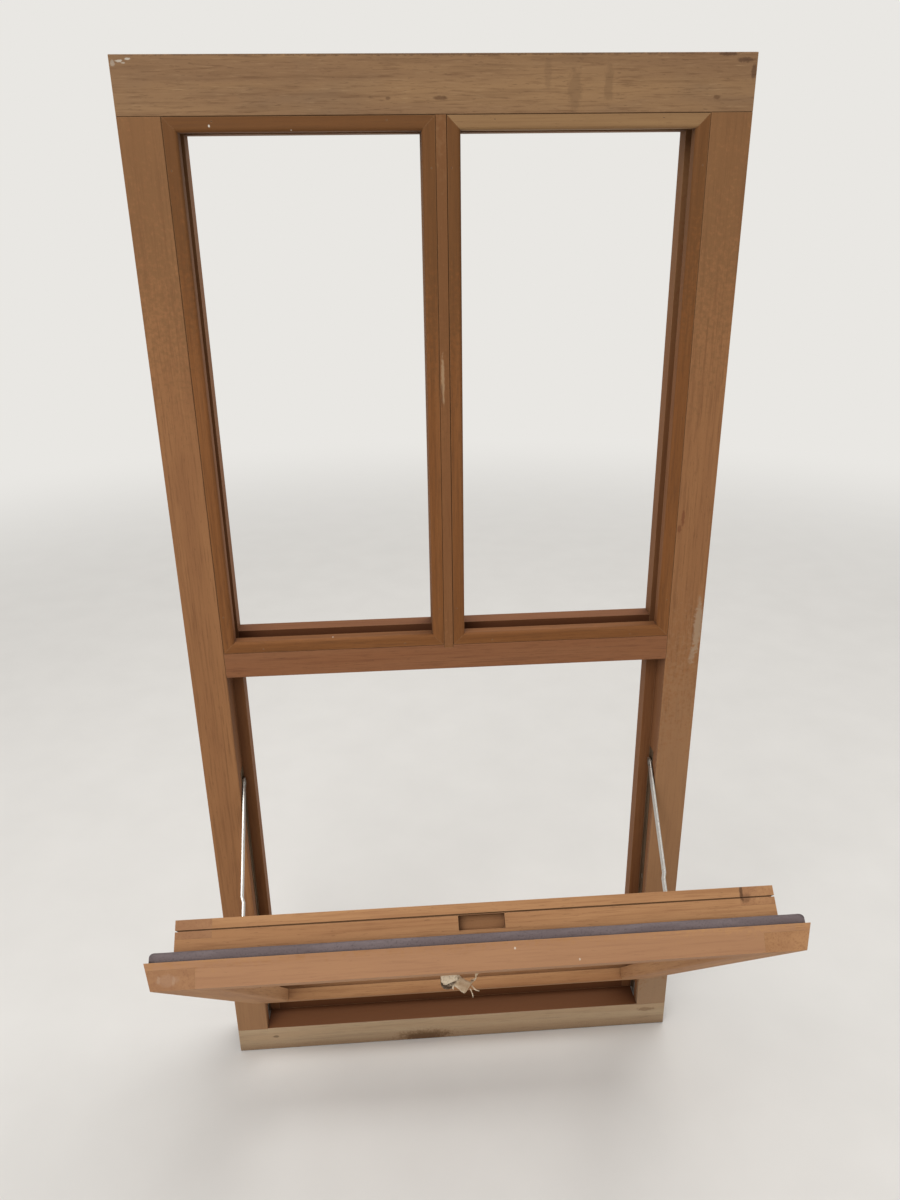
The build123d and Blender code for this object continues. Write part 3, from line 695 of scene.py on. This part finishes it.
def round_points(radius, depth, count):
    """Points in millimetres round Z, at a depth below the head's crown."""
    turns = [2 * math.pi * i / count for i in range(count)]
    return [Vector((radius * math.cos(turn), radius * math.sin(turn), -depth)) for turn in turns]


def lathe(mesh, profile, place):
    """Turn a profile of depth and radius in millimetres round a place's own Z, head upwards."""
    rings = []
    for depth, radius in profile:
        points = round_points(radius, depth, segment_count if radius else 1)
        rings.append([mesh.verts.new(place @ (point / 1000)) for point in points])
    for upper, lower in zip(rings, rings[1:]):
        for i in range(segment_count):
            j = (i + 1) % segment_count
            corners = (upper[i % len(upper)], upper[j % len(upper)], lower[j % len(lower)],
                       lower[i % len(lower)])
            mesh.faces.new(dict.fromkeys(corners))


def head_places(node, facing):
    """Where the heads of a node's fasteners sit: each at the end of its solid that faces that way."""
    for low, high in solid_boxes(node):
        middle = (low + high) / 2
        middle.x = high.x if facing > 0 else low.x
        yield Matrix.Translation(middle) @ Matrix.Rotation(facing * math.radians(90), 4, "Y")


for side, inwards in (("left", 1), ("right", -1)):
    for kind, body, facing in (("track_rivet", "frame", inwards), ("shoe_rivet", f"{side}_shoe", inwards),
                               ("arm_rivets", "sash", -inwards)):
        rivets = bmesh.new()
        for place in head_places(f"{side}_{kind}", facing):
            lathe(rivets, rivet_profiles[kind], place)
        finished(f"{side}_{kind}_domed", rivets, rivet_steel, body, f"{side}_{kind}")


# Screws of the stays: countersunk zinc-plated wood screws, pale grey and a little shiny, with dirt in
# the cross recess. Three hold each channel and three each arm, flush with the steel, and each was left
# at the turn where it came tight.
# depth below the head's face mm, radius mm
screw_profile = ((0.0, 3.64), (0.12, 3.66), (1.8, 2.0), (14.5, 2.0), (18.0, 0.15), (18.0, 0.0))
recess_turns = (0.35, 1.1, 0.7)  # radians
# The recess is in millimetres, and its taper is the share of its size that is left at the bottom.
recess_arm = 2.0
recess_half_width = 0.5
recess_depth = 1.1
recess_taper = 0.5
rim_reach = 0.000002
screw_layers = ((1.5, 1.5, 0.5, 0.72, "#7a7064", 0.5, 0.02),)
screw_steel = steel("zinc_plated_screw_steel", "#aaa69e", screw_layers, upright, 0.35, 0.8)


def cross_outline(turn, share, depth):
    """Corners of the cross recess at a depth, anticlockwise, in millimetres."""
    quarter = ((recess_arm, -recess_half_width), (recess_arm, recess_half_width),
               (recess_half_width, recess_half_width))
    corners = []
    for i in range(4):
        spin = Matrix.Rotation(turn + i * math.pi / 2, 3, "Z")
        corners += [spin @ Vector((x * share, y * share, -depth)) for x, y in quarter]
    return corners


def recessed_face(mesh, radius, turn, place):
    """Flat face of a screw head with its cross recess."""
    rim = round_points(radius, 0.0, segment_count)
    mouth = cross_outline(turn, 1.0, 0.0)
    bottom = cross_outline(turn, recess_taper, recess_depth)
    flat = [mesh.verts.new(place @ (corner / 1000)) for corner in rim + mouth]
    deep = [mesh.verts.new(place @ (corner / 1000)) for corner in bottom]
    for triangle in tessellate_polygon((rim, mouth)):
        mesh.faces.new([flat[i] for i in triangle])
    edge = flat[len(rim):]
    for i, corner in enumerate(edge):
        j = (i + 1) % len(edge)
        mesh.faces.new((corner, edge[j], deep[j], deep[i]))
    mesh.faces.new(deep)


for side, inwards in (("left", 1), ("right", -1)):
    for kind, body, facing in (("track_screws", "frame", inwards), ("arm_screws", "sash", -inwards)):
        screws = bmesh.new()
        for turn, place in zip(recess_turns, head_places(f"{side}_{kind}", facing)):
            lathe(screws, screw_profile, place)
            recessed_face(screws, screw_profile[0][1], turn, place)
        bmesh.ops.remove_doubles(screws, verts=screws.verts, dist=rim_reach)
        finished(f"{side}_{kind}_recessed", screws, screw_steel, body, f"{side}_{kind}")


# Bead pins: fine steel panel pins, driven aslant through the beads and punched just below their
# faces. Their heads have rusted to a dull brown.
rust_layers = ((1.5, 1.5, 0.42, 0.65, "#54321d", 0.8, 0.0),)
pin_steel = steel("rusty_pin_steel", "#6b5c4e", rust_layers, upright, 0.6, 0.5)
for node in ("left_light_bead_pins", "right_light_bead_pins", "sash_bead_pins"):
    dress(node, pin_steel, roundness=0.0)


# Torn glazing tape: a scrap of matt cream foam tape left from the pane, stuck to the free rail's
# bead. Its left end sags in a pale lobe that curls under and runs off to the right; the dark strip under
# the lobe is a painted shadow of the hollow in the curl. Its torn edge hangs in a tatter and a few
# threads.
tape_thickness = 0.0008
tape_runs = (
    # centre mm and half width mm of each row, along the tape
    # the lobe, its curl and the strip that runs off to the right
    (((-29.0, -410.6, 511.0), (7.4, 0.0, 0.0)), ((-29.0, -414.2, 507.2), (7.6, 0.2, 0.0)),
     ((-29.0, -417.6, 503.0), (7.7, 0.3, 0.0)), ((-29.0, -419.2, 498.4), (7.4, 0.5, 0.4)),
     ((-28.4, -418.2, 494.4), (6.2, 0.8, 0.9)), ((-27.2, -415.4, 491.8), (4.6, 1.0, 1.6)),
     ((-25.6, -413.0, 492.0), (3.4, 1.4, 3.0)), ((-22.4, -412.8, 491.0), (2.2, 1.8, 4.6)),
     ((-17.5, -414.6, 487.0), (1.4, 1.6, 5.4)), ((-12.8, -415.2, 484.0), (1.8, 0.6, 5.6)),
     ((-8.8, -413.8, 486.6), (2.8, 0.0, 3.6)), ((-6.2, -412.4, 491.0), (2.4, 0.2, 1.2))),
    # the dark strip under the lobe, a painted shadow of the hollow in the curl
    (((-36.2, -413.0, 495.5), (0.4, 0.0, 3.2)), ((-34.8, -413.8, 489.6), (0.8, 0.0, 3.8)),
     ((-31.0, -414.0, 485.8), (1.2, 0.0, 3.4)), ((-26.0, -414.4, 485.0), (0.8, 0.0, 2.2))),
    # a second flap, torn to a point, and a scrap beside it
    (((0.0, -410.4, 511.2), (5.6, 0.0, 0.0)), ((-0.4, -413.0, 506.8), (5.0, 0.0, 0.6)),
     ((-3.0, -415.0, 501.8), (2.6, 0.0, 0.5)), ((-5.0, -415.6, 495.6), (0.4, 0.0, 0.1))),
    (((3.4, -412.4, 507.4), (1.6, 0.0, 0.6)), ((5.4, -414.2, 503.6), (0.8, 0.0, 0.4)),
     ((7.2, -415.0, 501.4), (0.2, 0.0, 0.1))),
    # the tatter
    (((-24.4, -414.0, 488.6), (1.3, 0.0, 0.4)), ((-25.6, -415.4, 485.4), (0.8, 0.0, 0.3)),
     ((-25.2, -416.0, 483.2), (0.2, 0.0, 0.1))),
    # threads
    (((-8.6, -414.0, 485.0), (0.4, 0.0, 0.4)), ((-5.0, -415.2, 480.4), (0.3, 0.0, 0.2)),
     ((-1.6, -415.6, 479.2), (0.1, 0.0, 0.1))),
    (((-10.0, -414.6, 482.0), (0.4, 0.0, 0.3)), ((-8.0, -416.0, 476.8), (0.3, 0.0, 0.2)),
     ((-7.4, -416.6, 472.8), (0.1, 0.0, 0.1))),
)
tape_marks = (
    # darker strip and flap, and the painted shadow on the dark strip in the curl
    ((-14.0, -414.5, 487.0), (9.0, 8.0, 9.0), "#94704c", 0.6),
    ((-2.0, -414.0, 503.0), (7.0, 8.0, 12.0), "#a98a66", 0.5),
    ((-31.0, -413.4, 488.0), (10.0, 2.2, 10.0), "#3a2616", 0.95),
)
across_count = 8
steps_between_rows = 5
torn_reach = 0.16
tears_per_millimetre = 0.9
crumple_reach = 0.25
crumples_per_millimetre = 0.5
crumple_seed = 1
tape_layers = (
    (6.0, 6.0, 0.42, 0.7, "#a1835f", 0.6, 0.0),
    (1.5, 2.5, 0.5, 0.72, "#7f6546", 0.5, 0.2),
)


def smoothed(rows, step):
    """Point and half width at a step along the rows, on a smooth curve through them."""
    i, share = divmod(step / steps_between_rows, 1)
    i = min(int(i), len(rows) - 1)
    near = [rows[min(max(i + k, 0), len(rows) - 1)] for k in (-1, 0, 1, 2)]
    result = []
    for quantity in zip(*near):
        before, start, end, after = map(Vector, quantity)
        bend = 2 * before - 5 * start + 4 * end - after
        twist = 3 * (start - end) + after - before
        result.append(start + share * (end - before + share * (bend + share * twist)) / 2)
    return result


def ribbon(mesh, rows):
    """Torn strip along the rows, its long edges uneven and its face crumpled."""
    lines = []
    for step in range(steps_between_rows * (len(rows) - 1) + 1):
        middle, half = smoothed(rows, step)
        reach = 1 + torn_reach * noise.noise(middle * tears_per_millimetre)
        line = []
        for i in range(across_count + 1):
            share = 2 * i / across_count - 1
            crumple = noise.noise_vector(middle * crumples_per_millimetre + half * share) * crumple_reach
            line.append(mesh.verts.new((middle + half * share * reach + crumple) / 1000))
        lines.append(line)
    for one, other in zip(lines, lines[1:]):
        for i in range(across_count):
            mesh.faces.new((one[i], one[i + 1], other[i + 1], other[i]))


tape_foam, tape_tree = blank_material("aged_cream_foam_tape")
tape_place = add_node(tape_tree, "ShaderNodeTexCoord").outputs["Object"]
tape_surface = add_node(tape_tree, "ShaderNodeBsdfPrincipled", {
    **coated(tape_tree, "#dccab0", [
        *noise_marks(tape_tree, tape_place, upright, tape_layers),
        *ragged_patches(tape_tree, tape_place, tape_marks),
        # painted shade in the hollow of the curl and where the tape lies close to the bead
        shut_in(tape_tree, reach=0.006, between=(0.8, 0.15), colour="#3d2817", amount=0.75),
    ]),
    "Roughness": 0.9, "IOR": 1.5, "Specular IOR Level": 0.3})
add_node(tape_tree, "ShaderNodeOutputMaterial", {"Surface": tape_surface.outputs[0]})
# Without a seed, vectors of noise differ from run to run.
noise.seed_set(crumple_seed)
scrap = bmesh.new()
for rows in tape_runs:
    ribbon(scrap, rows)
tape = finished("torn_tape_scrap", scrap, tape_foam, "sash", "torn_glazing_tape")
thickness = tape.modifiers.new("thickness", "SOLIDIFY")
thickness.thickness = tape_thickness
thickness.offset = 0.0
